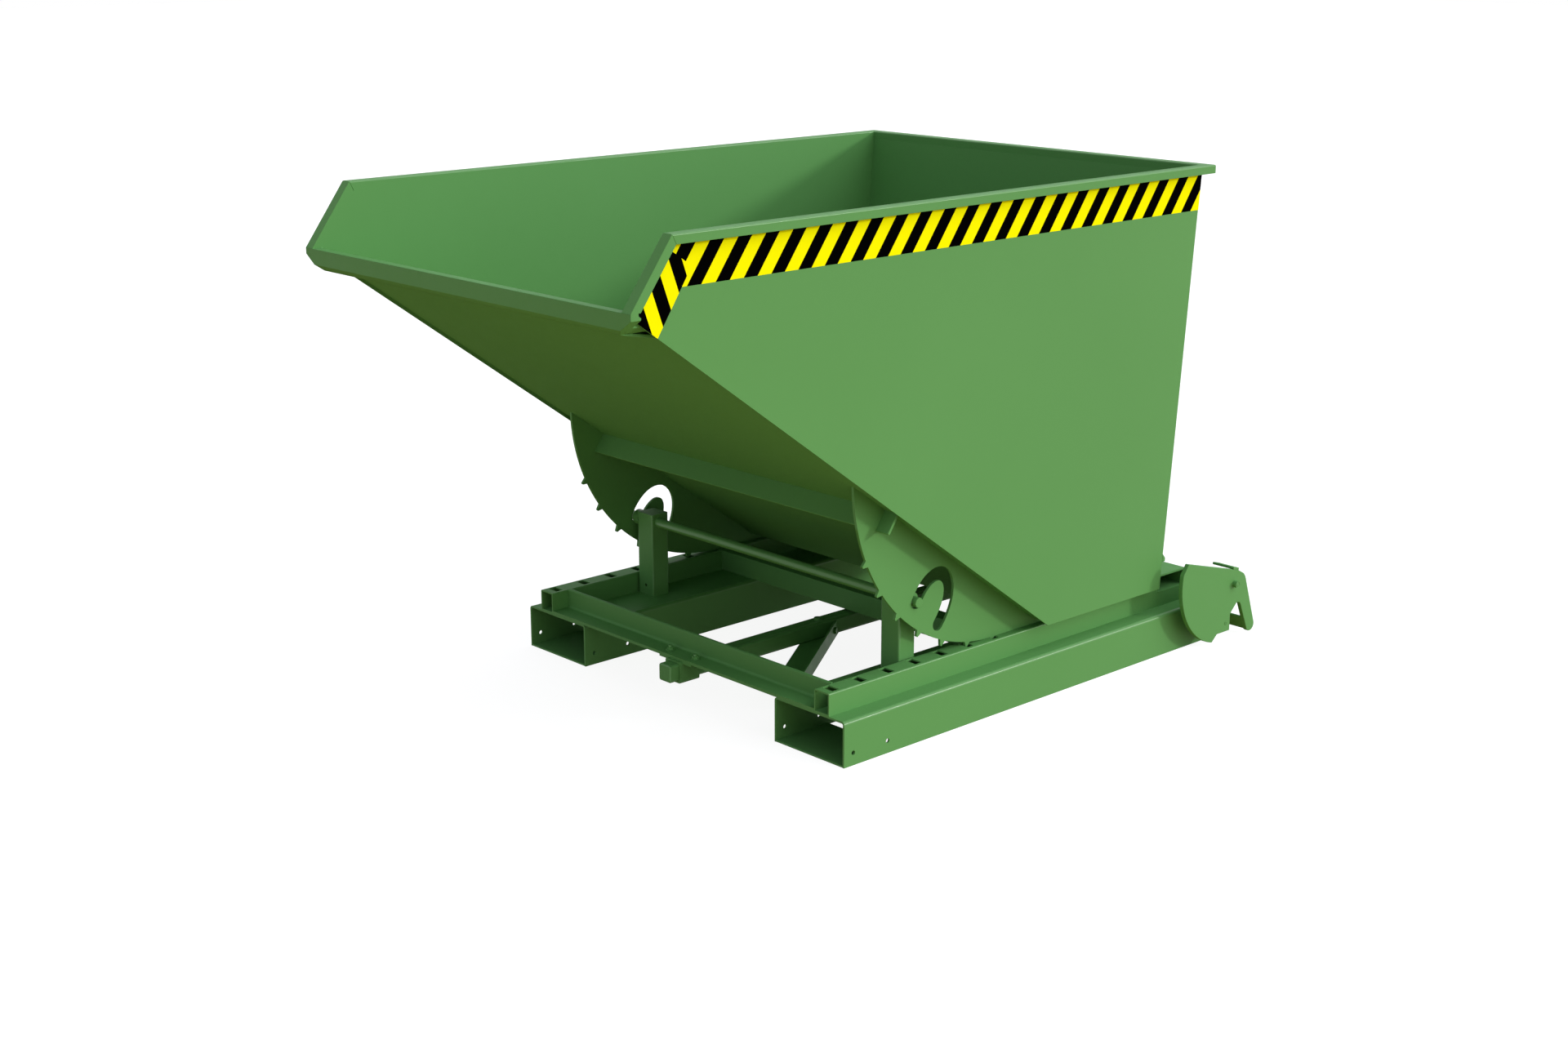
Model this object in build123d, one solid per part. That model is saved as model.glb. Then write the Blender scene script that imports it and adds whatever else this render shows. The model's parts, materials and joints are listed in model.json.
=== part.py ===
import math
import os

from build123d import *

os.makedirs("parts", exist_ok=True)

# Sizes are millimetres. +X is the right side, -Y the dumping front, +Z up, and the
# ground is Z = 0. Y = 0 is the front of the fork pockets until export, where all
# pieces move back by yMid so that the box is centred on the origin.

# fork pockets, open below, and the straps across their ends
pocketOver = 12.0
pocketWide = 190.0
pocketTall = 91.0
pocketLong = 1130.0
pocketWall = 4.0
pocketBend = 7.0
pocketHoleR = 4.5
pocketHoleZ = 25.0
pocketHoleFront = 24.0
pocketHolePitch = 91.0
strapLong = 138.0
strapT = 4.0

# roll rails with a slot for each tooth
railInset = 41.0
railWide = 40.0
railTall = 45.0
railWall = 3.0
railBend = 3.0
slotLong = 17.5
slotInner = 6.0
slotOuter = 7.0

# cross members
ironDeep = 48.0
ironTall = 46.0
ironT = 6.0
midY = 478.0
midDeep = 40.0
tubeWall = 4.0
beamY = 975.0
beamDeep = 100.0
beamTall = 41.0
beamSink = 16.0

# posts, stop bar and collars
postWide = 49.0
postDeep = 45.0
postWall = 4.0
postBack = 5.5
postGap = 6.0
postOver = 18.0
weepR = 3.5
weepZ = 22.0
stopY = 248.0
stopRise = 121.0
stopR = 10.0
stopOver = 8.0
collarR = 17.0
collarLong = 18.0

# rolling geometry: the rocker's edge rolls forward along the rail
rollR = 388.0
rollY = 464.0
rollGap = 0.3
tipAngle = 67.5
toothCount = 7
toothStepAngle = 10.95
toothFirstAngle = -0.75
toothTall = 11.5
toothRoot = 18.0
toothTip = 3.6
rockerT = 6.0
rockerInset = 17.0
curveWide = 28.0
discR = 20.0
discGap = 0.05

# tub
tubWide = 942.0
sheet = 4.0
tubLift = 8.0
slopeFootY = 586.0
slopeAngle = 35.512
sheetLap = 6.0
flatLap = 5.0
rearFootY = 947.0
rearLean = 75.0
tubTall = 898.0
stiffY = 162.0
stiffShort = 14.0
stiffT = 6.0
stiffTall = 43.0
keeperZ = 203.0
keeperFace = 8.0
keeperDeep = 10.0
keeperTall = 18.0

# rim tubes, sloped front flanges and front lip
rimTall = 17.6
rimWide = 23.5
rimWall = 3.0
rimBend = 3.0
lipDrop = 120.0
lipReach = 17.2
lipFold = 4.0
lipTall = 30.0
chinDeep = 12.0
chinTall = 11.0
lipBack = 72.0
flangeRun = 89.0
lipCutWide = 42.5
lipCutDrop = 12.0

# release bar in its sleeve, and the arm below it
barWide = 36.0
barTall = 36.0
barWall = 3.0
barBend = 5.0
barDrop = 4.5
barFrontY = -18.5
barRearY = 930.0
plugLong = 10.0
sleeveGap = 0.6
sleeveT = 4.4
sleeveFrontY = -6.0
sleeveRearY = 44.0
padWide = 98.0
padT = 4.0
boltX = 38.5
boltY = 20.5
boltR = 4.0
boltGap = 0.5
nutAcross = 13.0
nutTall = 6.5
boltOver = 4.0
armY = 395.0
armTurn = 55.25
armLong = 349.5
armNear = 27.2
armFar = 36.8
armT = 4.0
armTall = 34.0
armScrewR = 4.0

# rear hooks on their lugs
hookPinBack = 15.0
hookPinRise = 35.0
hookPinR = 7.4
hookPinGap = 0.06
hookPinOver = 10.0
hookT = 10.0
hookBoss = 18.0
hookBossR = 13.0
headTopFront = 166.0
headRise = 77.0
bellyR = 149.1
bellyFront = 35.8
bellyRise = 26.3
bellyStartAngle = 169.0
bellyEndAngle = 256.7
heelFront = 53.0
heelDrop = 104.0
notchFront = 8.5
notchDrop = 67.0
notchTop = 46.5
notchBack = 28.5
notchRound = 16.0
legFoot = 56.0
legDrop = 117.0
legTail = 81.0
legEnd = 4.0
legTop = 41.0
legRise = 8.0
legCutY = 34.0
legCutRise = 17.0
backY = 14.0
backRise = 27.7
lugT = 10.0
lugLong = 64.0
lugOver = 18.0
pedalWide = 56.0
pedalDeep = 21.0
jawWide = 70.0
jawTall = 32.0
plateT = 5.5


def box(x0, x1, y0, y1, z0, z1):
    size = Box(x1 - x0, y1 - y0, z1 - z0)
    return Pos((x0 + x1) / 2, (y0 + y1) / 2, (z0 + z1) / 2) * size


def prismX(points, x0, x1):
    face = make_face(Polyline(*[(x0, y, z) for y, z in points], close=True))
    return extrude(face, amount=x1 - x0, dir=(1, 0, 0))


def prismY(points, y0, y1):
    face = make_face(Polyline(*[(x, y0, z) for x, z in points], close=True))
    return extrude(face, amount=y1 - y0, dir=(0, 1, 0))


def prismZ(points, z0, z1):
    face = make_face(Polyline(*[(x, y, z0) for x, y in points], close=True))
    return extrude(face, amount=z1 - z0, dir=(0, 0, 1))


def rodX(x0, x1, y, z, r):
    return Pos((x0 + x1) / 2, y, z) * Rot(0, 90, 0) * Cylinder(r, x1 - x0)


def rodZ(x, y, z0, z1, r):
    return Pos(x, y, (z0 + z1) / 2) * Cylinder(r, z1 - z0)


def hexZ(x, y, z0, z1, across):
    face = Pos(x, y, z0) * RegularPolygon(across / math.sqrt(3), 6)
    return extrude(face, amount=z1 - z0, dir=(0, 0, 1))


def other(shape):
    return mirror(shape, about=Plane.YZ)


def bendTop(shape, axis, radius):
    return fillet(shape.edges().filter_by(axis).sort_by(Axis.Z)[-2:], radius)


def bendAt(shape, y, z, radius):
    near = shape.edges().filter_by(Axis.X).sort_by_distance((0, y, z))
    return fillet(near[0], radius)


# places worked out from the sizes above
past = 5.0
sideX = tubWide / 2
sideInX = sideX - sheet
pocketOutX = sideX + pocketOver
pocketInX = pocketOutX - pocketWide
railOutX = pocketOutX - railInset
railInX = railOutX - railWide
railTop = pocketTall + railTall
postOutX = railInX - postGap
postInX = postOutX - postWide
stopZ = railTop + stopRise
postTop = stopZ + postOver
rollZ = railTop + rollR
rockerInX = railInX + rockerInset
rockerOutX = rockerInX + rockerT
toothAngles = [toothFirstAngle + toothStepAngle * k for k in range(toothCount)]

slopeRise = math.tan(math.radians(slopeAngle))
slopeLong = math.hypot(1, slopeRise)
tubBottom = railTop + tubLift
flatBottom = tubBottom + flatLap
flatTop = flatBottom + sheet
rimTop = railTop + tubTall
rimUnder = rimTop - rimTall
lipTop = rimTop - lipDrop


def edgeY(z):
    return slopeFootY - (z - tubBottom) / slopeRise


def edgeZ(y):
    return tubBottom + (slopeFootY - y) * slopeRise


def floorUnder(y):
    return edgeZ(y) + sheetLap * slopeLong


def floorUnderY(z):
    return edgeY(z - sheetLap * slopeLong)


def floorTopY(z):
    return edgeY(z - (sheetLap + sheet) * slopeLong)


def rearY(z):
    return rearFootY + (z - tubBottom) * rearLean / (rimUnder - tubBottom)


rimInX = sideInX
rimOutX = rimInX + rimWide
rimInY = rearY(rimUnder) - sheet
rimRearY = rimInY + rimWide
floorFrontY = floorTopY(lipTop)
lipFrontY = floorFrontY - lipReach
lipBackY = floorFrontY + lipBack
rimFrontY = lipFrontY + flangeRun
flangeLong = math.hypot(flangeRun, lipDrop)
flangeDown = (-flangeRun / flangeLong, -lipDrop / flangeLong)
flangeIn = (-flangeDown[1], flangeDown[0])


def flangeLine(z):
    drop = z - rimTop - flangeIn[1] * rimTall
    return rimFrontY + flangeIn[0] * rimTall + drop * flangeDown[0] / flangeDown[1]


cornerY = flangeLine(rimUnder)
flangeEndY = flangeLine(lipTop)
hookPinY = pocketLong + hookPinBack
hookPinZ = pocketTall + hookPinRise
yMid = (lipFrontY + hookPinY + legTail) / 2


def save(shape, name):
    export_step(Pos(0, -yMid, 0) * shape, "parts/" + name + ".step")


# fork pockets and straps
pocket = bendTop(box(pocketInX, pocketOutX, 0, pocketLong, 0, pocketTall), Axis.Y, pocketBend)
strapInX = pocketInX + pocketWall
strapOutX = pocketOutX - pocketWall
hollow = box(strapInX, strapOutX, -past, pocketLong + past, -past, pocketTall - pocketWall)
pocket -= bendTop(hollow, Axis.Y, max(pocketBend - pocketWall, 1))
for holeY in (pocketHoleFront, pocketHoleFront + pocketHolePitch):
    pocket -= rodX(pocketInX - past, pocketOutX + past, holeY, pocketHoleZ, pocketHoleR)
save(pocket, "fork_pocket_right")
save(other(pocket), "fork_pocket_left")

strapFront = box(strapInX, strapOutX, 0, strapLong, 0, strapT)
strapRear = box(strapInX, strapOutX, pocketLong - strapLong, pocketLong, 0, strapT)
straps = [strapFront, strapRear, other(strapFront), other(strapRear)]
save(Compound(children=straps), "pocket_straps")

# roll rails, cut down at the rear where the cross beam lies in them
rail = bendTop(box(railInX, railOutX, 0, pocketLong, pocketTall, railTop), Axis.Y, railBend)
railHollowX = (railInX + railWall, railOutX - railWall)
slotX = (railInX + slotInner, railOutX - slotOuter)
rail -= box(*railHollowX, -past, pocketLong + past, pocketTall + railWall, railTop - railWall)
for angle in toothAngles:
    slotY = rollY - rollR * math.radians(angle)
    slotZ = railTop - railWall - 1
    rail -= box(*slotX, slotY - slotLong / 2, slotY + slotLong / 2, slotZ, railTop + past)
beamBottom = railTop - beamSink
rail -= box(railInX - past, railOutX + past, beamY, beamY + beamDeep, beamBottom, railTop + past)
save(rail, "roll_rail_right")
save(other(rail), "roll_rail_left")

# front cross angle, and the sleeve bracket bolted under it
ironTop = pocketTall + ironT
angleBar = box(-railInX, railInX, 0, ironDeep, pocketTall, ironTop)
angleBar += box(-railInX, railInX, ironDeep - ironT, ironDeep, pocketTall, pocketTall + ironTall)
angleBar = bendAt(angleBar, ironDeep - ironT, ironTop, ironT)
angleBar = bendAt(angleBar, ironDeep, pocketTall, ironT * 1.3)
angleBar = bendAt(angleBar, ironDeep - ironT, pocketTall + ironTall, ironT * 0.7)
for x in (-boltX, boltX):
    angleBar -= rodZ(x, boltY, pocketTall - past, ironTop + past, boltR + boltGap)
save(angleBar, "front_cross_angle")

barX = barWide / 2
barTop = pocketTall - barDrop
barBottom = barTop - barTall
boreX = barX + sleeveGap
sleeve = box(-boreX - sleeveT, boreX + sleeveT, sleeveFrontY, sleeveRearY, barBottom - sleeveT, pocketTall)
sleeve = fillet(sleeve.edges().filter_by(Axis.Y), sleeveT)
padBottom = pocketTall - padT
sleeve += box(-padWide / 2, padWide / 2, 0, ironDeep - ironT, padBottom, pocketTall)
bore = box(-boreX, boreX, sleeveFrontY - past, sleeveRearY + past, barBottom - sleeveGap, barTop + sleeveGap)
sleeve -= fillet(bore.edges().filter_by(Axis.Y), barBend + sleeveGap)
for x in (-boltX, boltX):
    sleeve -= rodZ(x, boltY, padBottom - past, pocketTall + past, boltR + boltGap)
save(sleeve, "sleeve_bracket")

bolts = []
for x in (-boltX, boltX):
    bolt = rodZ(x, boltY, padBottom - 1, ironTop + nutTall + boltOver, boltR)
    bolt += hexZ(x, boltY, ironTop, ironTop + nutTall, nutAcross)
    bolt += hexZ(x, boltY, padBottom - nutTall * 0.8, padBottom, nutAcross)
    bolts.append(bolt)
save(Compound(children=bolts), "bracket_bolts")

# mid cross member and rear cross beam
midTube = box(-railInX, railInX, midY, midY + midDeep, pocketTall, railTop)
midHollowY = (midY + tubeWall, midY + midDeep - tubeWall)
midTube -= box(-railInX - past, railInX + past, *midHollowY, pocketTall + tubeWall, railTop - tubeWall)
save(midTube, "mid_cross_member")

beamTop = beamBottom + beamTall
beam = box(-railOutX, railOutX, beamY, beamY + beamDeep, beamBottom, beamTop)
beam = fillet(beam.edges().filter_by(Axis.X), tubeWall)
beamHollowY = (beamY + tubeWall, beamY + beamDeep - tubeWall)
beam -= box(-pocketOutX, pocketOutX, *beamHollowY, beamBottom + tubeWall, beamTop - tubeWall)
save(beam, "rear_cross_beam")

# posts, stop bar and collars
postY0 = stopY + postBack - postDeep / 2
postY1 = postY0 + postDeep
post = box(postInX, postOutX, postY0, postY1, pocketTall, postTop)
post = fillet(post.edges().filter_by(Axis.Z), postWall * 0.75)
postHollowX = (postInX + postWall, postOutX - postWall)
post -= box(*postHollowX, postY0 + postWall, postY1 - postWall, pocketTall - past, postTop - postWall)
post -= rodX(postInX - past, postOutX + past, stopY, stopZ, stopR)
weep = Pos((postInX + postOutX) / 2, postY0, pocketTall + weepZ)
post -= weep * Rot(90, 0, 0) * Cylinder(weepR, postWall * 3)
save(post, "post_right")
save(other(post), "post_left")

stopEndX = rockerOutX + stopOver
save(rodX(-stopEndX, stopEndX, stopY, stopZ, stopR), "stop_bar")
collar = rodX(postOutX, postOutX + collarLong, stopY, stopZ, collarR)
collar -= rodX(postOutX - past, postOutX + collarLong + past, stopY, stopZ, stopR)
save(Compound(children=[collar, other(collar)]), "stop_bar_collars")

# release bar, its end plug, and the arm bolted under it
armBoltR = 6.0
bar = box(-barX, barX, barFrontY, barRearY, barBottom, barTop)
bar = fillet(bar.edges().filter_by(Axis.Y), barBend)
barHollow = (-barX + barWall, barX - barWall)
barHollowZ = (barBottom + barWall, barTop - barWall)
bar -= box(*barHollow, barFrontY - past, barRearY + past, *barHollowZ)
bar -= rodZ(0, armY, barBottom - past, barTop + past, armBoltR + boltGap)
save(bar, "release_bar")

plug = box(-barX, barX, barFrontY - plugLong, barFrontY, barBottom, barTop)
plug = fillet(plug.edges().filter_by(Axis.Y), barBend)
plug = chamfer(plug.faces().sort_by(Axis.Y)[0].edges(), plugLong / 4)
plug += box(*barHollow, barFrontY, barFrontY + plugLong * 1.5, *barHollowZ)
save(plug, "release_bar_plug")

armFrame = Pos(0, armY, 0) * Rot(0, 0, -armTurn)
armBottom = barBottom - armT
armTail = 2 * barWide
flatLeg = armFrame * box(-armTail, armLong, -armNear, armFar, armBottom, barBottom)
flatLeg &= box(-barX, armLong, 0, armY + barWide * 1.5, armBottom, barBottom)
sideLeg = armFrame * box(-armTail, armLong, armFar - armT, armFar, armBottom, armBottom + armTall)
sideLeg &= box(barX + 1, armLong, 0, armY + barWide * 1.5, armBottom, armBottom + armTall)
arm = flatLeg + sideLeg
arm -= rodZ(0, armY, armBottom - past, barBottom + past, armBoltR + boltGap)
screwFrame = armFrame * Pos(6.5, armFar, armBottom + armTall * 0.6) * Rot(-90, 0, 0)
arm -= screwFrame * Cylinder(armScrewR + boltGap, armT * 4)
save(arm, "release_arm")

armBolt = rodZ(0, armY, armBottom - nutTall, barTop + 1, armBoltR)
armBolt += rodZ(0, armY, barTop, barTop + 5, armBoltR * 1.5)
armBolt += hexZ(0, armY, armBottom - nutTall - 1, armBottom, armBoltR * 3.2)
save(armBolt, "release_arm_bolt")
screw = Pos(0, 0, -armT / 2) * Cylinder(armScrewR, armT)
screw += hexZ(0, 0, 0, armScrewR * 1.3, armScrewR * 3.25)
save(screwFrame * screw, "release_arm_screw")

# tub sheets
sideEdge = [
    (cornerY, rimUnder),
    (flangeEndY, lipTop),
    (flangeEndY, edgeZ(flangeEndY)),
    (slopeFootY, tubBottom),
    (rearFootY, tubBottom),
    (rearY(rimUnder), rimUnder),
]
side = prismX(sideEdge, sideInX, sideX)
side -= rodX(sideInX - past, sideX + past, rollY, rollZ, discR + discGap)
save(side, "tub_side_right")
save(other(side), "tub_side_left")

creaseY = floorUnderY(flatBottom)
floorEdge = [
    (floorFrontY, lipTop),
    (floorTopY(flatTop), flatTop),
    (rearY(flatTop), flatTop),
    (rearY(flatBottom), flatBottom),
    (creaseY, flatBottom),
    (floorFrontY, floorUnder(floorFrontY)),
]
save(prismX(floorEdge, -sideInX, sideInX), "tub_floor")

rearEdge = [
    (rearY(flatTop), flatTop),
    (rearY(rimUnder), rimUnder),
    (rearY(rimUnder) - sheet, rimUnder),
    (rearY(flatTop) - sheet, flatTop),
]
save(prismX(rearEdge, -sideInX, sideInX), "tub_rear_wall")

keeperY = rearY(keeperZ) + keeperDeep
keeperEdge = [
    (rearY(keeperZ), keeperZ),
    (keeperY, keeperZ),
    (keeperY, keeperZ + keeperFace),
    (rearY(keeperZ + keeperTall), keeperZ + keeperTall),
]
save(prismX(keeperEdge, -sideX, sideX), "keeper_strip")

# rim tubes, mitred at the rear corners
rimEdge = [(rimFrontY, rimTop), (rimRearY, rimTop), (rimRearY, rimUnder), (cornerY, rimUnder)]
sideRim = prismX(rimEdge, rimInX, rimOutX)
mitre = [(rimInX - 1, rimInY - 1), (rimOutX + 1, rimRearY + 1), (rimInX - 1, rimRearY + 1)]
sideRim -= prismZ(mitre, rimUnder - past, rimTop + past)
sideRim = bendTop(sideRim, Axis.Y, rimBend)
rimHollowX = (rimInX + rimWall, rimOutX - rimWall)
rimHollowZ = (rimUnder + rimWall, rimTop - rimWall)
sideRim -= box(*rimHollowX, cornerY + 4 * rimWall, rimRearY + past, *rimHollowZ)
save(sideRim, "rim_right")
save(other(sideRim), "rim_left")

rearCorners = [(-rimOutX, rimRearY), (rimOutX, rimRearY), (rimInX, rimInY), (-rimInX, rimInY)]
rearRim = bendTop(prismZ(rearCorners, rimUnder, rimTop), Axis.X, rimBend)
rearRim -= box(-rimOutX, rimOutX, rimInY + rimWall, rimRearY - rimWall, *rimHollowZ)
save(rearRim, "rim_rear")


def flangePoint(down, inward):
    y = rimFrontY + flangeDown[0] * down + flangeIn[0] * inward
    return (y, rimTop + flangeDown[1] * down + flangeIn[1] * inward)


flangeEdge = [(rimFrontY, rimTop), (cornerY, rimUnder), (flangeEndY, lipTop), (lipFrontY, lipTop)]
flange = prismX(flangeEdge, rimInX, rimOutX)
flangeEnds = (rimTall, flangeLong - rimTall)
flangeHollow = [flangePoint(flangeEnds[0], rimWall), flangePoint(flangeEnds[0], rimTall - rimWall)]
flangeHollow += [flangePoint(flangeEnds[1], rimTall - rimWall), flangePoint(flangeEnds[1], rimWall)]
flange -= prismX(flangeHollow, *rimHollowX)
save(flange, "front_flange_right")
save(other(flange), "front_flange_left")

# folded front lip, cut away below at both ends and closed there by a sloping cap
lipLow = lipTop - lipTall
chinY = lipFrontY + chinDeep
chinZ = lipLow - chinTall
foldY = lipFrontY + lipFold
lipOuter = [
    (lipFrontY, lipTop),
    (lipFrontY, lipLow),
    (chinY, chinZ),
    (lipBackY, floorUnder(lipBackY)),
    (floorFrontY, floorUnder(floorFrontY)),
    (floorFrontY, lipTop),
]
lipInner = [
    (foldY, lipTop - lipFold),
    (foldY, lipLow + lipFold / 2),
    (chinY + lipFold / 2, chinZ + lipFold),
    (lipBackY - 3 * lipFold, floorUnder(lipBackY - 3 * lipFold)),
    (lipBackY, lipTop - lipFold),
]
lip = prismX(lipOuter, -rimOutX, rimOutX)
lipVoid = prismX(lipInner, -rimOutX - past, rimOutX + past)
lipSpanY = (lipFrontY - past, lipBackY + past)
cutInX = rimOutX - lipCutWide
cutOuterZ = lipTop - lipCutDrop
lipCut = [(rimOutX, cutOuterZ), (cutInX, chinZ), (cutInX, chinZ - lipTall), (rimOutX, chinZ - lipTall)]
lipCutAway = prismY(lipCut, *lipSpanY)
besideTub = box(sideInX, rimOutX + past, flangeEndY, lipBackY + past, chinZ - lipTall, lipTop + past)
lipSkin = lip - lipVoid
for piece in (lipCutAway, besideTub):
    lipSkin = lipSkin - piece - other(piece)
save(lipSkin, "front_lip")

capTop = [(rimOutX, cutOuterZ + 2 * lipFold), (cutInX - lipFold, chinZ + 2 * lipFold)]
capSlab = prismY([(rimOutX, cutOuterZ), (cutInX, chinZ), capTop[1], capTop[0]], *lipSpanY)
capWall = box(rimOutX - rimWall, rimOutX, *lipSpanY, cutOuterZ, lipTop)
endCap = (lip & lipVoid & (capSlab + capWall)) - besideTub
save(endCap, "lip_end_cap_right")
save(other(endCap), "lip_end_cap_left")

# cross stiffener, a flat bar square to the sloped floor
stiffFrame = Pos(0, stiffY, floorUnder(stiffY)) * Rot(-slopeAngle, 0, 0)
stiffX = sideX - stiffShort
stiffener = stiffFrame * box(-stiffX, stiffX, -stiffT / 2, stiffT / 2, -stiffTall, 0)
save(stiffener, "cross_stiffener")


# rockers: round toothed edge, and a curved slot that clears the stop bar as the tub rolls
def stopPath(angle):
    turn = math.radians(angle)
    dy = stopY - rollY + rollR * turn
    dz = stopZ - rollZ
    y = rollY + math.cos(turn) * dy + math.sin(turn) * dz
    return (y, rollZ - math.sin(turn) * dy + math.cos(turn) * dz)


def curveOutline():
    left = []
    right = []
    steps = 22
    for k in range(steps + 1):
        angle = tipAngle * k / steps
        y, z = stopPath(angle)
        ya, za = stopPath(angle - 0.5)
        yb, zb = stopPath(angle + 0.5)
        reach = curveWide / 2 / math.hypot(yb - ya, zb - za)
        left.append((y - (zb - za) * reach, z + (yb - ya) * reach))
        right.append((y + (zb - za) * reach, z - (yb - ya) * reach))
    return left + right[::-1]


def rollPoint(angle, side, radius):
    turn = math.radians(angle)
    y = rollY - radius * math.sin(turn) + side * math.cos(turn)
    return (y, rollZ - radius * math.cos(turn) - side * math.sin(turn))


rockerX = (rockerInX, rockerOutX)
wideX = (rockerInX - past, rockerOutX + past)
rockerRearY = rearFootY - 2 * sheet
frontY = rollY - rollR - past
below = railTop - 4 * toothTall
underTub = [
    (frontY, floorUnder(frontY)),
    (creaseY, flatBottom),
    (rockerRearY, flatBottom),
    (rockerRearY, below),
    (frontY, below),
]
rocker = rodX(*rockerX, rollY, rollZ, rollR - rollGap)
rocker += box(*rockerX, rollY, rockerRearY, railTop + rollGap, flatBottom + past)
for angle in toothAngles:
    root = [rollPoint(angle, toothRoot / 2, rollR - sheet), rollPoint(angle, -toothRoot / 2, rollR - sheet)]
    tip = [rollPoint(angle, -toothTip / 2, rollR + toothTall), rollPoint(angle, toothTip / 2, rollR + toothTall)]
    rocker += prismX(root + tip, *rockerX)
rocker &= prismX(underTub, *wideX)
rocker -= prismX(curveOutline(), *wideX)
for angle in (0.0, tipAngle):
    rocker -= rodX(*wideX, *stopPath(angle), curveWide / 2)
rocker -= stiffener
save(rocker, "rocker_right")
save(other(rocker), "rocker_left")

# round plugs at the roll centre, flush in the side sheets
disc = rodX(sideInX, sideX, rollY, rollZ, discR)
save(disc, "roll_disc_right")
save(other(disc), "roll_disc_left")

# rear hooks: lug and pin on the pocket, and a swinging plate with pedal and jaw
lugOutX = pocketOutX + lugT
hookInX = lugOutX + hookBoss
hookOutX = hookInX + hookT


def hookAt(dy, dz):
    return (hookPinY + dy, hookPinZ + dz)


def hookLine(*offsets):
    return Polyline(*[(hookInX, *hookAt(dy, dz)) for dy, dz in offsets])


def hookArc(*offsets):
    return ThreePointArc(*[(hookInX, *hookAt(dy, dz)) for dy, dz in offsets])


lugFrontY = pocketLong - lugLong
lugEdge = [
    (lugFrontY, pocketTall / 2),
    (pocketLong, pocketTall / 3),
    hookAt(lugOver, -lugOver),
    hookAt(lugOver, lugOver),
    hookAt(-lugOver, lugOver),
    (lugFrontY, pocketTall),
]
lug = prismX(lugEdge, pocketOutX, lugOutX)
save(Compound(children=[lug, other(lug)]), "hook_lugs")

bossY = (hookPinY - hookBossR, hookPinY + hookBossR)
bossZ = (hookPinZ - hookBossR, hookPinZ + hookBossR)
hookPin = box(lugOutX, hookInX - rollGap, *bossY, *bossZ)
hookPin += rodX(hookInX - past, hookOutX + hookPinOver, hookPinY, hookPinZ, hookPinR)
save(Compound(children=[hookPin, other(hookPin)]), "hook_pins")


def bellyAt(angle):
    turn = math.radians(angle)
    return (-bellyFront + bellyR * math.cos(turn), bellyRise + bellyR * math.sin(turn))


# the head's round belly, the notch for a fork's heel, the rear leg and the sloping back
bellyTop = bellyAt(bellyStartAngle)
bellyLow = bellyAt(bellyEndAngle)
notchMid = (notchBack - notchRound / 2, -notchTop)
notchIn = (notchBack - notchRound, -notchTop)
notchOut = (notchBack, -notchTop - notchRound / 2)
legInner = (legFoot, -legDrop)
legOuter = (legTail, -heelDrop)
headTop = (-headTopFront, headRise)
hookEdge = hookArc(bellyTop, bellyAt((bellyStartAngle + bellyEndAngle) / 2), bellyLow)
hookEdge += hookLine(bellyLow, (-heelFront, -heelDrop), (-notchFront, -heelDrop), (-notchFront, -notchDrop))
hookEdge += hookLine((-notchFront, -notchDrop), notchIn)
hookEdge += hookArc(notchIn, notchMid, notchOut)
hookEdge += hookLine(notchOut, legInner)
hookEdge += hookArc(legInner, ((legFoot + legTail) / 2 + legEnd, -legDrop - legEnd), legOuter)
hookEdge += hookLine(legOuter, (legTop, legRise), (legCutY, legCutRise), (backY, backRise), headTop, bellyTop)
hook = extrude(make_face(hookEdge), amount=hookT, dir=(1, 0, 0))
hook -= rodX(hookInX - past, hookOutX + past, hookPinY, hookPinZ, hookPinR + hookPinGap)
save(hook, "hook_plate_right")
save(other(hook), "hook_plate_left")

# the pedal lies on the hook's sloping back, and the jaw plate stands on its rear leg
pedalTurn = math.degrees(math.atan2(headRise - backRise, headTopFront + backY))
pedalFrame = Pos(0, *hookAt(backY, backRise)) * Rot(-pedalTurn, 0, 0)
pedal = pedalFrame * box(hookOutX - pedalWide, hookOutX, -pedalDeep, 0, 0, plateT)
save(pedal, "hook_pedal_right")
save(other(pedal), "hook_pedal_left")

jawTurn = math.degrees(math.atan2(legInner[0] - notchOut[0], notchOut[1] - legInner[1]))
jawFrame = Pos(0, *hookAt(*legInner)) * Rot(jawTurn, 0, 0)
jaw = jawFrame * box(hookInX - jawWide, hookInX, 0, plateT, 0, jawTall)
save(jaw, "hook_jaw_right")
save(other(jaw), "hook_jaw_left")

print("parts written, yMid", round(yMid, 3))
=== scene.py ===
import json
import math

import bmesh
import bpy
from mathutils import Matrix, Vector
from mathutils.bvhtree import BVHTree


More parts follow.
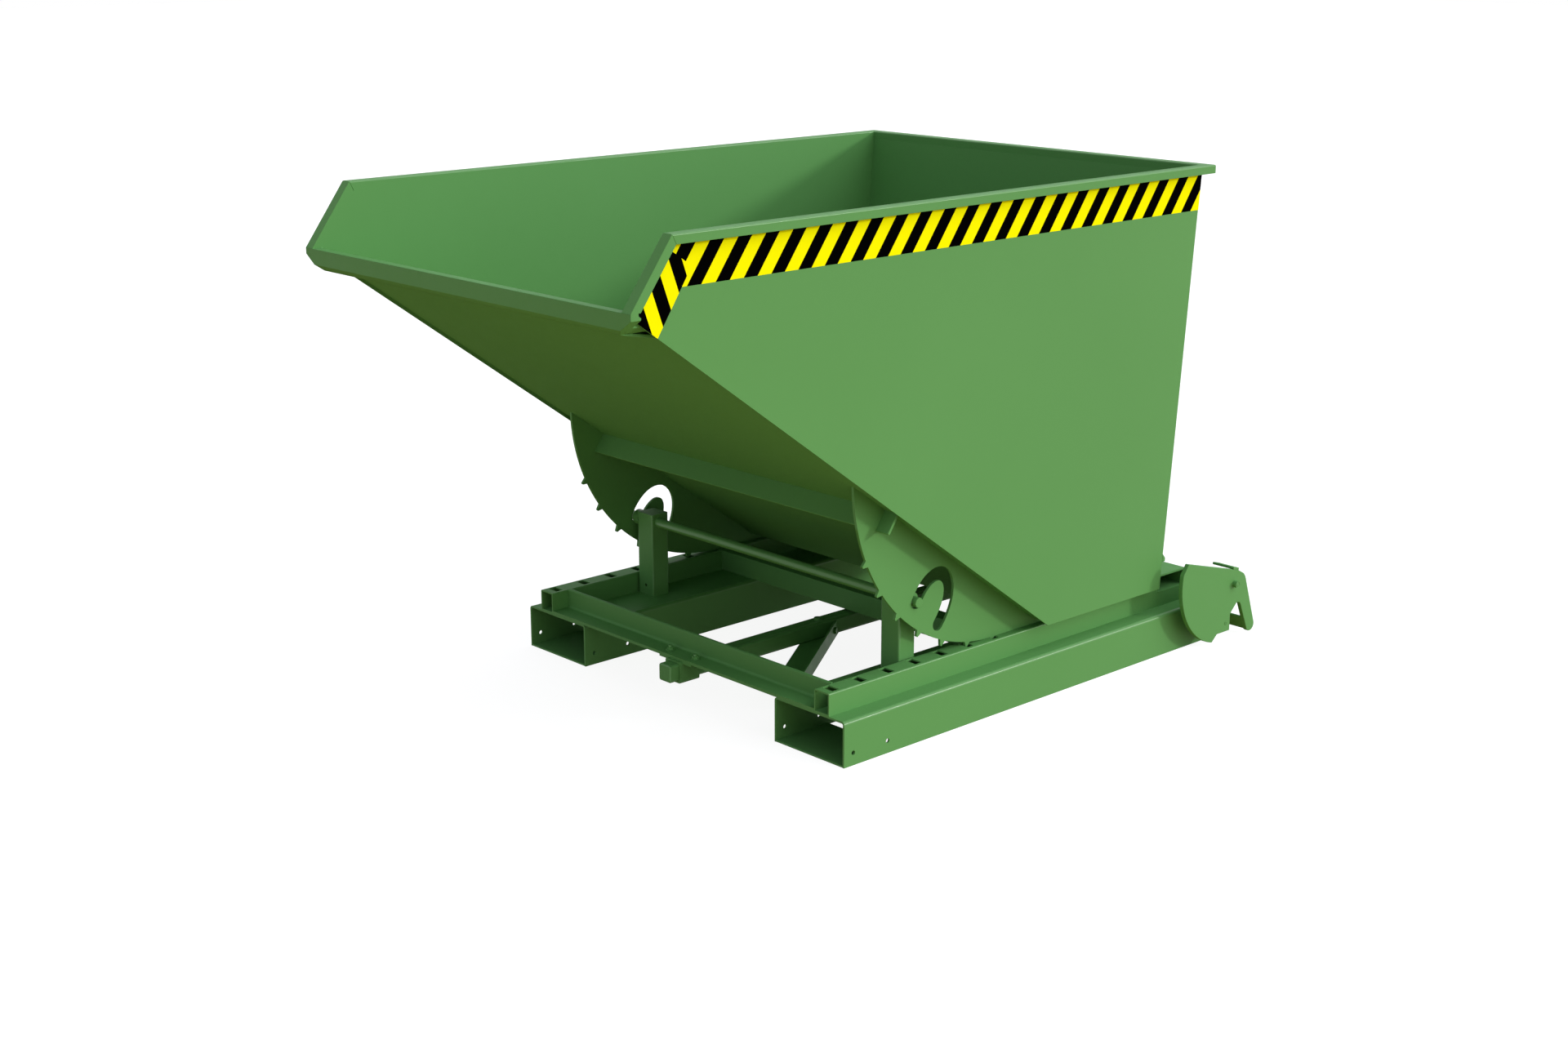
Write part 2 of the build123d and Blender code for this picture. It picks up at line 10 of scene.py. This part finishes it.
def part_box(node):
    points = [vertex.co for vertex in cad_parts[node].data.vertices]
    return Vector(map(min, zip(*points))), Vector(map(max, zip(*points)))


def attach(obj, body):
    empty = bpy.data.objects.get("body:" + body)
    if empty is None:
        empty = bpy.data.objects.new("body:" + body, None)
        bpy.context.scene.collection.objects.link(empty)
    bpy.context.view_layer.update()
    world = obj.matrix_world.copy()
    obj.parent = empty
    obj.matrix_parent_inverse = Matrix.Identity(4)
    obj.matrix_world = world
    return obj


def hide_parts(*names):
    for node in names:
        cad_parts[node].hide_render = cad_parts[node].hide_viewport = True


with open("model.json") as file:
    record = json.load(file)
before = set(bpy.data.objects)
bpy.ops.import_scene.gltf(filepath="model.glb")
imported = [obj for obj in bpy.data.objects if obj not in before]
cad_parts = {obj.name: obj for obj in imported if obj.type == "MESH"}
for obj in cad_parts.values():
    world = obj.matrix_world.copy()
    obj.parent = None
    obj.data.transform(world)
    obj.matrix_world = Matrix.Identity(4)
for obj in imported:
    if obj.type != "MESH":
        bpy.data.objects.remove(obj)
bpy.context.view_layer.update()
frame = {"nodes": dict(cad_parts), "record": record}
cadNodes = frame["nodes"]
bodyOf = {}
for bodyName, members in frame["record"]["behaviour"]["bodies"].items():
    for member in members:
        bodyOf[member] = bodyName
bothSides = (("Right", 1), ("Left", -1))


def addNode(tree, kind, **values):
    node = tree.nodes.new(kind)
    for key, value in values.items():
        setattr(node, key, value)
    return node


def noiseAt(tree, coords, scale, detail=2.0, rough=0.5):
    noise = addNode(tree, "ShaderNodeTexNoise")
    noise.inputs["Scale"].default_value = scale
    noise.inputs["Detail"].default_value = detail
    noise.inputs["Roughness"].default_value = rough
    tree.links.new(coords.outputs["Object"], noise.inputs["Vector"])
    return noise


# nearly all of a noise lies in this span, which is stretched to the wanted one
noiseSpan = {"low": 0.3, "high": 0.7}


def spread(tree, source, low, high):
    ranged = addNode(tree, "ShaderNodeMapRange")
    ranged.inputs["From Min"].default_value = noiseSpan["low"]
    ranged.inputs["From Max"].default_value = noiseSpan["high"]
    ranged.inputs["To Min"].default_value = low
    ranged.inputs["To Max"].default_value = high
    tree.links.new(source, ranged.inputs["Value"])
    return ranged


# satin green enamel: slow drift of tone, a fine orange peel and a little change of gloss
greenEnamel = {
    "colour": (0.116, 0.322, 0.094),
    "deepColour": (0.106, 0.302, 0.085),
    "driftScale": 1.7,
    "driftDetail": 3.0,
    "driftShare": 0.65,
    "speckScale": 34.0,
    "speckDetail": 4.0,
    "speckRough": 0.6,
    "speckShare": 0.35,
    "gloss": (0.44, 0.52),
    "peelScale": 420.0,
    "peelDetail": 1.0,
    "peelStrength": 0.35,
    "peelHeight": 0.00002,
    "specular": 0.11,
}

# the coat runs smooth and bright round a bend, lies a little dusty on tops and dry and dull below; the
# coat below is also a little less green and blue, which is painted shade for faces that look down
bendEnamel = dict(greenEnamel, gloss=(0.28, 0.34), specular=0.36)
# the dull coat is a shaded copy of the enamel: its slightly less blue colours are painted shade, its
# low gloss is its own
dullShadeEnamel = dict(greenEnamel, colour=(0.116, 0.318, 0.084), deepColour=(0.106, 0.298, 0.076))
dullShadeEnamel.update(gloss=(0.82, 0.92), specular=0.03)
topEnamel = dict(greenEnamel, specular=0.06)


def enamel(name, look):
    mat = bpy.data.materials.new(name)
    mat.use_nodes = True
    tree = mat.node_tree
    shader = tree.nodes["Principled BSDF"]
    coords = addNode(tree, "ShaderNodeTexCoord")
    drift = noiseAt(tree, coords, look["driftScale"], look["driftDetail"])
    speck = noiseAt(tree, coords, look["speckScale"], look["speckDetail"], look["speckRough"])
    slow = spread(tree, drift.outputs["Fac"], 0.0, look["driftShare"])
    blend = addNode(tree, "ShaderNodeMath", operation="MULTIPLY_ADD")
    blend.inputs[1].default_value = look["speckShare"]
    tree.links.new(speck.outputs["Fac"], blend.inputs[0])
    tree.links.new(slow.outputs["Result"], blend.inputs[2])
    tone = addNode(tree, "ShaderNodeMix", data_type="RGBA")
    tone.inputs["A"].default_value = (*look["deepColour"], 1.0)
    tone.inputs["B"].default_value = (*look["colour"], 1.0)
    tree.links.new(blend.outputs["Value"], tone.inputs["Factor"])
    tree.links.new(tone.outputs["Result"], shader.inputs["Base Color"])
    gloss = spread(tree, speck.outputs["Fac"], *look["gloss"])
    tree.links.new(gloss.outputs["Result"], shader.inputs["Roughness"])
    peel = noiseAt(tree, coords, look["peelScale"], look["peelDetail"])
    bump = addNode(tree, "ShaderNodeBump")
    bump.inputs["Strength"].default_value = look["peelStrength"]
    bump.inputs["Distance"].default_value = look["peelHeight"]
    tree.links.new(peel.outputs["Fac"], bump.inputs["Height"])
    tree.links.new(bump.outputs["Normal"], shader.inputs["Normal"])
    shader.inputs["Specular IOR Level"].default_value = look["specular"]
    return mat


greenPaint = enamel("greenPaint", greenEnamel)
bendPaint = enamel("bendPaint", bendEnamel)
dullPaint = enamel("dullPaint", dullShadeEnamel)
topPaint = enamel("topPaint", topEnamel)
coatIndex = {"bend": 1, "dull": 2, "top": 3}
print("paint mixed")


def placePiece(name, bm, material, body, nodesReplaced=()):
    mesh = bpy.data.meshes.new(name)
    bm.to_mesh(mesh)
    bm.free()
    piece = bpy.data.objects.new(name, mesh)
    bpy.context.scene.collection.objects.link(piece)
    mesh.materials.append(material)
    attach(piece, body)
    if nodesReplaced:
        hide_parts(*nodesReplaced)
    return piece


# a rounded edge on each free corner; an edge that lies on another solid is a weld and stays square,
# except between rim and front flange, where the edges are rounded too and the seam shows
seam = {
    "gap": 0.0002,
    "sharp": 38.0,
    "samples": (0.2, 0.5, 0.8),
    "weldSamples": 2,
    "open": ["front", "rim"],
}
solidTrees = {}
solidBoxes = {}
for nodeName, node in cadNodes.items():
    solidBoxes[nodeName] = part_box(nodeName)
    nodePoints = [vertex.co for vertex in node.data.vertices]
    nodeFaces = [polygon.vertices for polygon in node.data.polygons]
    solidTrees[nodeName] = BVHTree.FromPolygons(nodePoints, nodeFaces)


def isNeighbour(nodeName, otherName):
    firstWords = sorted((nodeName.split("_")[0], otherName.split("_")[0]))
    if nodeName == otherName or firstWords == seam["open"]:
        return False
    low, high = solidBoxes[nodeName]
    otherLow, otherHigh = solidBoxes[otherName]
    for k in range(3):
        if low[k] >= otherHigh[k] + seam["gap"] or high[k] <= otherLow[k] - seam["gap"]:
            return False
    return True


def freeEdges(bm, nodeName):
    free = []
    near = [solidTrees[name] for name in cadNodes if isNeighbour(nodeName, name)]
    for edge in bm.edges:
        if len(edge.link_faces) != 2 or edge.calc_face_angle() < math.radians(seam["sharp"]):
            continue
        touching = 0
        for part in seam["samples"]:
            point = edge.verts[0].co.lerp(edge.verts[1].co, part)
            touching += any(tree.find_nearest(point, seam["gap"])[0] is not None for tree in near)
        edge.smooth = touching < seam["weldSamples"]
        if edge.smooth:
            free.append(edge)
    return free


# wide faces are shaded flat, and a corner left square is shaded sharp
shading = {"square": 60.0, "flatWeight": 60}
meshRepair = {"merge": 0.00002, "flat": 0.6, "sliver": 0.000005}


def softenEdges(bm, free, look):
    bmesh.ops.bevel(
        bm, geom=free, offset=look["edge"], offset_type="OFFSET", segments=look["segments"],
        profile=0.5, affect="EDGES", clamp_overlap=True, loop_slide=True, material=-1
    )
    bmesh.ops.dissolve_degenerate(bm, dist=meshRepair["sliver"], edges=bm.edges[:])
    for edge in bm.edges:
        if edge.calc_face_angle(0.0) > math.radians(shading["square"]):
            edge.smooth = False


def flattenFaces(piece):
    weighted = piece.modifiers.new("flatFaces", "WEIGHTED_NORMAL")
    weighted.mode = "FACE_AREA"
    weighted.weight = shading["flatWeight"]
    weighted.keep_sharp = True


# which coat a face gets: by its slope, or as a narrow facet of a bend
coatRule = {"dullBelow": -0.25, "topAbove": 0.9, "bend": (2.0, 25.0), "bendFacet": 0.004}


def isBend(face):
    longest = max(edge.calc_length() for edge in face.edges)
    if face.calc_area() > coatRule["bendFacet"] * longest:
        return False
    outward = [edge for edge in face.edges if len(edge.link_faces) == 2 and edge.is_convex]
    angles = [math.degrees(edge.calc_face_angle()) for edge in outward]
    return any(coatRule["bend"][0] < angle < coatRule["bend"][1] for angle in angles)


# a painted copy of a solid, with its triangles joined to whole faces and its edges broken
def paintedSteel(nodeName, look, shape=None):
    bm = bmesh.new()
    bm.from_mesh(cadNodes[nodeName].data)
    bmesh.ops.remove_doubles(bm, verts=bm.verts[:], dist=meshRepair["merge"])
    bmesh.ops.dissolve_limit(
        bm, angle_limit=math.radians(meshRepair["flat"]), verts=bm.verts[:], edges=bm.edges[:],
        use_dissolve_boundaries=False
    )
    bmesh.ops.recalc_face_normals(bm, faces=bm.faces[:])
    if shape:
        shape(bm)
    for face in bm.faces:
        face.smooth = True
        # faces that look down get the dull coat, whose colour holds painted shade
        if face.normal.z < coatRule["dullBelow"]:
            face.material_index = coatIndex["dull"]
        elif look["brightBends"] and isBend(face):
            face.material_index = coatIndex["bend"]
        elif face.normal.z > coatRule["topAbove"]:
            face.material_index = coatIndex["top"]
    softenEdges(bm, freeEdges(bm, nodeName), look)
    parts = nodeName.split("_")
    name = parts[0] + "".join(word.capitalize() for word in parts[1:])
    piece = placePiece(name, bm, greenPaint, bodyOf[nodeName], (nodeName,))
    for coat in (bendPaint, dullPaint, topPaint):
        piece.data.materials.append(coat)
    flattenFaces(piece)


# folded sheet, rolled steel, flame cut plate and turned parts differ in how round their edges are
foldedSheet = {"edge": 0.0010, "segments": 2, "brightBends": True}
rolledTube = {"edge": 0.0009, "segments": 2, "brightBends": True}
rolledAngle = {"edge": 0.0010, "segments": 2, "brightBends": False}
cutPlate = {"edge": 0.0012, "segments": 2, "brightBends": True}
turnedPart = {"edge": 0.0010, "segments": 2, "brightBends": True}
groovedEnd = {"edge": 0.0003, "segments": 2, "brightBends": True}
domedHead = {"edge": 0.0030, "segments": 4, "brightBends": True}

# each hook pin's outer end has a plain rim, a groove and a raised centre: inset and depth of each step
pinEnd = {
    "facing": 0.99,
    "slack": 0.0001,
    "steps": ((0.0016, 0.0), (0.0010, -0.0009), (0.0010, 0.0009)),
}


def turnPinEnds(bm):
    reach = max(vert.co.x for vert in bm.verts) - pinEnd["slack"]
    for sideSign in (-1, 1):
        facing = [face for face in bm.faces if face.normal.x * sideSign > pinEnd["facing"]]
        ends = [face for face in facing if face.calc_center_median().x * sideSign > reach]
        for inset, depth in pinEnd["steps"]:
            bmesh.ops.inset_region(bm, faces=ends, thickness=inset, depth=depth, use_even_offset=True)


for nodeName in ("fork_pocket_left", "fork_pocket_right", "pocket_straps", "sleeve_bracket"):
    paintedSteel(nodeName, foldedSheet)
paintedSteel("front_cross_angle", rolledAngle)
for nodeName in ("roll_rail_left", "roll_rail_right", "mid_cross_member", "rear_cross_beam"):
    paintedSteel(nodeName, rolledTube)
for nodeName in ("post_left", "post_right", "hook_lugs"):
    paintedSteel(nodeName, cutPlate)
for nodeName in ("stop_bar", "stop_bar_collars", "bracket_bolts"):
    paintedSteel(nodeName, turnedPart)
paintedSteel("hook_pins", groovedEnd, turnPinEnds)
print("frame painted")

for nodeName in ("release_bar", "release_arm"):
    paintedSteel(nodeName, rolledTube)
for nodeName in ("release_bar_plug", "release_arm_screw"):
    paintedSteel(nodeName, turnedPart)
paintedSteel("release_arm_bolt", domedHead)
print("release bar painted")

for nodeName in ("tub_side_left", "tub_side_right", "tub_floor", "tub_rear_wall", "front_lip"):
    paintedSteel(nodeName, foldedSheet)
for nodeName in ("rim_left", "rim_right", "rim_rear", "front_flange_left", "front_flange_right"):
    paintedSteel(nodeName, rolledTube)
for nodeName in ("lip_end_cap_left", "lip_end_cap_right", "roll_disc_left", "roll_disc_right"):
    paintedSteel(nodeName, foldedSheet)
for nodeName in ("rocker_left", "rocker_right", "cross_stiffener", "keeper_strip"):
    paintedSteel(nodeName, cutPlate)
print("tub painted")

for side in ("left", "right"):
    for part in ("plate", "pedal", "jaw"):
        paintedSteel("hook_%s_%s" % (part, side), cutPlate)
print("hooks painted")


# a flat ring round Z, standing on the XY plane, with its edges rounded
def turnedRing(look):
    bm = bmesh.new()
    hole, radius, thick = look["hole"], look["radius"], look["thick"]
    outline = [(hole, 0.0), (radius, 0.0), (radius, thick), (hole, thick)]
    verts = [bm.verts.new((across, 0.0, up)) for across, up in outline]
    edges = [bm.edges.new((verts[k], verts[(k + 1) % 4])) for k in range(4)]
    bmesh.ops.spin(
        bm, geom=verts + edges, angle=math.tau, steps=look["sides"], axis=(0, 0, 1), cent=(0, 0, 0),
        use_merge=True
    )
    bmesh.ops.recalc_face_normals(bm, faces=bm.faces[:])
    sharp = math.radians(seam["sharp"])
    corners = [edge for edge in bm.edges if edge.calc_face_angle(0.0) > sharp]
    bmesh.ops.bevel(
        bm, geom=corners, offset=look["soft"], segments=2, profile=0.5, affect="EDGES", material=-1
    )
    for face in bm.faces:
        face.smooth = True
    return bm


# flat washers under the two front nuts
washer = {"hole": 0.0045, "radius": 0.0092, "thick": 0.0016, "soft": 0.0004, "sides": 40}
washerAt = {"x": 0.0385, "y": -0.3460, "z": 0.0970}
for sideName, sideSign in bothSides:
    bm = turnedRing(washer)
    place = (sideSign * washerAt["x"], washerAt["y"], washerAt["z"])
    bmesh.ops.translate(bm, verts=bm.verts[:], vec=place)
    placePiece("frontWasher" + sideName, bm, greenPaint, bodyOf["bracket_bolts"])

# a ring of weld round a plugged hole on each hook plate
weldRing = {"hole": 0.0024, "radius": 0.0042, "thick": 0.0007, "soft": 0.0003, "sides": 32}
weldAt = {"y": 0.7554, "z": 0.0409}
for sideName, sideSign in bothSides:
    plateName = "hook_plate_" + sideName.lower()
    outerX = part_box(plateName)[1].x if sideSign > 0 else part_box(plateName)[0].x
    bm = turnedRing(weldRing)
    outward = Matrix.Rotation(sideSign * math.pi / 2, 3, "Y")
    bmesh.ops.rotate(bm, verts=bm.verts[:], cent=(0, 0, 0), matrix=outward)
    bmesh.ops.translate(bm, verts=bm.verts[:], vec=(outerX, weldAt["y"], weldAt["z"]))
    placePiece("hookWeld" + sideName, bm, greenPaint, bodyOf[plateName])

# a bead of weld closes each corner where front flange, lip and floor meet
cornerBead = {"x": 0.4682, "y": -0.8393, "z": 0.9124, "reach": (0.0026, 0.0042, 0.0034)}
cornerBead.update(sides=24, rings=12)
for sideName, sideSign in bothSides:
    bm = bmesh.new()
    bmesh.ops.create_uvsphere(
        bm, u_segments=cornerBead["sides"], v_segments=cornerBead["rings"], radius=1.0
    )
    bmesh.ops.scale(bm, verts=bm.verts[:], vec=cornerBead["reach"])
    place = (sideSign * cornerBead["x"], cornerBead["y"], cornerBead["z"])
    bmesh.ops.translate(bm, verts=bm.verts[:], vec=place)
    for face in bm.faces:
        face.smooth = True
    placePiece("cornerBead" + sideName, bm, greenPaint, "tub")
print("small details set")

# hazard tape: one band below each side rim and one strip down each front edge, cut at the sheet's edges
hazardTape = {
    "yellow": (0.98, 0.96, 0.002),
    "black": (0.0012, 0.0012, 0.0012),
    "pitch": 0.06265,
    "lean": 0.724,
    "softness": 0.0002,
    "thick": 0.0003,
    "grainScale": 260.0,
    "gloss": (0.60, 0.70),
    "specular": 0.0,
}
tapeBand = {
    "outline": [(-0.7616, 1.0164), (-0.8167, 0.9422), (0.6491, 0.9422), (0.6555, 1.0164)],
    "foot": (0.0, 0.0),
    "turn": 0.0,
    "blackAt": -0.01285,
    "lift": 0.0,
}
tapeStrip = {
    "outline": [
        (-0.7663, 1.0102),
        (-0.8376, 0.9140),
        (-0.8376, 0.8984),
        (-0.7883, 0.8632),
        (-0.7137, 0.9749),
    ],
    "foot": (-0.7883, 0.8635),
    "turn": 56.2,
    "blackAt": 0.0369,
    "lift": hazardTape["thick"],
}


def stripes(name, look, tape):
    mat = bpy.data.materials.new(name)
    mat.use_nodes = True
    tree = mat.node_tree
    shader = tree.nodes["Principled BSDF"]
    coords = addNode(tree, "ShaderNodeTexCoord")
    apart = addNode(tree, "ShaderNodeSeparateXYZ")
    tree.links.new(coords.outputs["Object"], apart.inputs["Vector"])
    # distance along the tape less the lean across it, as one sum of Y and Z
    turn = math.radians(tape["turn"])
    weightY = math.cos(turn) + look["lean"] * math.sin(turn)
    weightZ = math.sin(turn) - look["lean"] * math.cos(turn)
    start = tape["foot"][0] * weightY + tape["foot"][1] * weightZ + tape["blackAt"]
    fromZ = addNode(tree, "ShaderNodeMath", operation="MULTIPLY_ADD")
    fromZ.inputs[1].default_value = weightZ
    fromZ.inputs[2].default_value = -start
    tree.links.new(apart.outputs["Z"], fromZ.inputs[0])
    sumYZ = addNode(tree, "ShaderNodeMath", operation="MULTIPLY_ADD")
    sumYZ.inputs[1].default_value = weightY
    tree.links.new(apart.outputs["Y"], sumYZ.inputs[0])
    tree.links.new(fromZ.outputs["Value"], sumYZ.inputs[2])
    # half a pitch of black and half of yellow, folded at the middle of each
    fold = addNode(tree, "ShaderNodeMath", operation="PINGPONG")
    fold.inputs[1].default_value = look["pitch"] / 2
    tree.links.new(sumYZ.outputs["Value"], fold.inputs[0])
    edge = addNode(tree, "ShaderNodeMapRange", interpolation_type="SMOOTHSTEP")
    edge.inputs["From Min"].default_value = look["pitch"] / 4 - look["softness"]
    edge.inputs["From Max"].default_value = look["pitch"] / 4 + look["softness"]
    tree.links.new(fold.outputs["Value"], edge.inputs["Value"])
    ink = addNode(tree, "ShaderNodeMix", data_type="RGBA")
    ink.inputs["A"].default_value = (*look["black"], 1.0)
    ink.inputs["B"].default_value = (*look["yellow"], 1.0)
    tree.links.new(edge.outputs["Result"], ink.inputs["Factor"])
    tree.links.new(ink.outputs["Result"], shader.inputs["Base Color"])
    grain = noiseAt(tree, coords, look["grainScale"])
    gloss = spread(tree, grain.outputs["Fac"], *look["gloss"])
    tree.links.new(gloss.outputs["Result"], shader.inputs["Roughness"])
    shader.inputs["Specular IOR Level"].default_value = look["specular"]
    return mat


def layTape(name, tape, sideSign, material):
    bm = bmesh.new()
    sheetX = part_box("tub_side_right")[1].x + tape["lift"]
    corners = [bm.verts.new((sideSign * sheetX, y, z)) for y, z in tape["outline"]]
    grown = bmesh.ops.extrude_face_region(bm, geom=[bm.faces.new(corners)])
    moved = [part for part in grown["geom"] if isinstance(part, bmesh.types.BMVert)]
    bmesh.ops.translate(bm, verts=moved, vec=(sideSign * hazardTape["thick"], 0, 0))
    bmesh.ops.recalc_face_normals(bm, faces=bm.faces[:])
    placePiece(name, bm, material, "tub")


bandStripes = stripes("bandStripes", hazardTape, tapeBand)
stripStripes = stripes("stripStripes", hazardTape, tapeStrip)
for sideName, sideSign in bothSides:
    layTape("hazardBand" + sideName, tapeBand, sideSign, bandStripes)
    layTape("hazardStrip" + sideName, tapeStrip, sideSign, stripStripes)
print("hazard tape laid")

# floor, pale to the eye, with the shadow kept; what it throws back up is warm
floorLook = {
    "size": 30.0,
    "drop": 0.0005,
    "glow": 0.90,
    "face": (0.30, 0.30, 0.30),
    "bounce": (0.49, 0.35, 0.15),
    "fill": (0.036, 0.025, 0.005),
}


# one for a ray straight from the camera, off a glossy face or through glass, and nought for the rest
def seenDirectly(tree):
    path = addNode(tree, "ShaderNodeLightPath")
    first = addNode(tree, "ShaderNodeMath", operation="MAXIMUM")
    tree.links.new(path.outputs["Is Camera Ray"], first.inputs[0])
    tree.links.new(path.outputs["Is Glossy Ray"], first.inputs[1])
    second = addNode(tree, "ShaderNodeMath", operation="MAXIMUM")
    tree.links.new(first.outputs["Value"], second.inputs[0])
    tree.links.new(path.outputs["Is Transmission Ray"], second.inputs[1])
    return second.outputs["Value"]


def addShaders(tree, first, second):
    added = addNode(tree, "ShaderNodeAddShader")
    tree.links.new(first, added.inputs[0])
    tree.links.new(second, added.inputs[1])
    return added.outputs["Shader"]


def chooseSeen(tree, unseen, seen):
    choose = addNode(tree, "ShaderNodeMixShader")
    tree.links.new(seenDirectly(tree), choose.inputs["Fac"])
    tree.links.new(unseen, choose.inputs[1])
    tree.links.new(seen, choose.inputs[2])
    return choose.outputs["Shader"]


floorMat = bpy.data.materials.new("paleFloor")
floorMat.use_nodes = True
tree = floorMat.node_tree
tree.nodes.clear()
glow = addNode(tree, "ShaderNodeEmission")
glow.inputs["Strength"].default_value = floorLook["glow"]
face = addNode(tree, "ShaderNodeBsdfDiffuse")
face.inputs["Color"].default_value = (*floorLook["face"], 1.0)
shown = addShaders(tree, glow.outputs["Emission"], face.outputs["BSDF"])
bounce = addNode(tree, "ShaderNodeBsdfDiffuse")
bounce.inputs["Color"].default_value = (*floorLook["bounce"], 1.0)
fill = addNode(tree, "ShaderNodeEmission")
fill.inputs["Color"].default_value = (*floorLook["fill"], 1.0)
thrown = addShaders(tree, bounce.outputs["BSDF"], fill.outputs["Emission"])
floorOut = addNode(tree, "ShaderNodeOutputMaterial")
tree.links.new(chooseSeen(tree, thrown, shown), floorOut.inputs["Surface"])

bm = bmesh.new()
bmesh.ops.create_grid(bm, x_segments=1, y_segments=1, size=floorLook["size"])
bmesh.ops.translate(bm, verts=bm.verts[:], vec=(0, 0, -floorLook["drop"]))
floorMesh = bpy.data.meshes.new("floor")
bm.to_mesh(floorMesh)
bm.free()
floor = bpy.data.objects.new("floor", floorMesh)
bpy.context.scene.collection.objects.link(floor)
floorMesh.materials.append(floorMat)

# soft light: a broad glow from the right, rear and above, a low warm one from the right, others from
# the front, straight above and the left, and one key lamp; the background is white to the eye
skyGlows = [
    {"towards": (0.6, 0.6, 0.5), "level": 2.26, "sharpness": 3.0, "tint": (1.0, 1.0, 1.06)},
    {"towards": (1.0, -0.25, 0.14), "level": 0.95, "sharpness": 16.0, "tint": (1.06, 1.0, 0.90)},
    {"towards": (0.0, -1.0, 0.06), "level": 1.13, "sharpness": 8.0, "tint": (1.02, 1.0, 1.14)},
    {"towards": (0.0, 0.0, 1.0), "level": 0.52, "sharpness": 3.0, "tint": (1.0, 1.0, 1.30)},
    {"towards": (-1.0, 0.4, 0.2), "level": 0.66, "sharpness": 6.0, "tint": (1.0, 1.0, 1.0)},
]
keyLamp = {"towards": (-1.0, -0.95, -0.36), "strength": 1.02, "spread": 6.0, "tint": (1.0, 1.0, 0.94)}


def skyGlow(tree, coords, look):
    facing = addNode(tree, "ShaderNodeVectorMath", operation="DOT_PRODUCT")
    facing.inputs[1].default_value = Vector(look["towards"]).normalized()
    tree.links.new(coords.outputs["Generated"], facing.inputs[0])
    front = addNode(tree, "ShaderNodeMath", operation="MAXIMUM")
    front.inputs[1].default_value = 0.0
    tree.links.new(facing.outputs["Value"], front.inputs[0])
    soft = addNode(tree, "ShaderNodeMath", operation="POWER")
    soft.inputs[1].default_value = look["sharpness"]
    tree.links.new(front.outputs["Value"], soft.inputs[0])
    scaled = addNode(tree, "ShaderNodeMath", operation="MULTIPLY")
    scaled.inputs[1].default_value = look["level"]
    tree.links.new(soft.outputs["Value"], scaled.inputs[0])
    part = addNode(tree, "ShaderNodeBackground")
    part.inputs["Color"].default_value = (*look["tint"], 1.0)
    tree.links.new(scaled.outputs["Value"], part.inputs["Strength"])
    return part.outputs["Background"]


world = bpy.data.worlds.new("studio")
bpy.context.scene.world = world
world.use_nodes = True
tree = world.node_tree
tree.nodes.clear()
coords = addNode(tree, "ShaderNodeTexCoord")
total = skyGlow(tree, coords, skyGlows[0])
for glowLook in skyGlows[1:]:
    total = addShaders(tree, total, skyGlow(tree, coords, glowLook))
white = addNode(tree, "ShaderNodeBackground")
white.inputs["Color"].default_value = (1, 1, 1, 1)
worldOut = addNode(tree, "ShaderNodeOutputWorld")
tree.links.new(chooseSeen(tree, total, white.outputs["Background"]), worldOut.inputs["Surface"])

lampData = bpy.data.lights.new("keyLamp", "SUN")
lampData.energy = keyLamp["strength"]
lampData.angle = math.radians(keyLamp["spread"])
lampData.color = keyLamp["tint"]
lamp = bpy.data.objects.new("keyLamp", lampData)
lamp.rotation_euler = Vector(keyLamp["towards"]).to_track_quat("-Z", "Y").to_euler()
bpy.context.scene.collection.objects.link(lamp)

# camera at the photograph's place
viewpoint = {
    "place": (3.2038, -3.0467, 1.5454),
    "azimuth": 47.10,
    "elevation": 15.67,
    "lens": 50.664,
    "sensor": 36.0,
    "farthest": 200.0,
}
turn = math.radians(viewpoint["azimuth"])
tilt = math.radians(viewpoint["elevation"])
aim = Vector((-math.sin(turn) * math.cos(tilt), math.cos(turn) * math.cos(tilt), -math.sin(tilt)))
cameraData = bpy.data.cameras.new("camera")
cameraData.lens = viewpoint["lens"]
cameraData.sensor_width = viewpoint["sensor"]
cameraData.sensor_fit = "HORIZONTAL"
cameraData.clip_end = viewpoint["farthest"]
camera = bpy.data.objects.new("camera", cameraData)
camera.location = viewpoint["place"]
camera.rotation_euler = aim.to_track_quat("-Z", "Y").to_euler()
bpy.context.scene.collection.objects.link(camera)
bpy.context.scene.camera = camera
bpy.context.scene.view_settings.view_transform = "Standard"
print("floor, light and camera set")
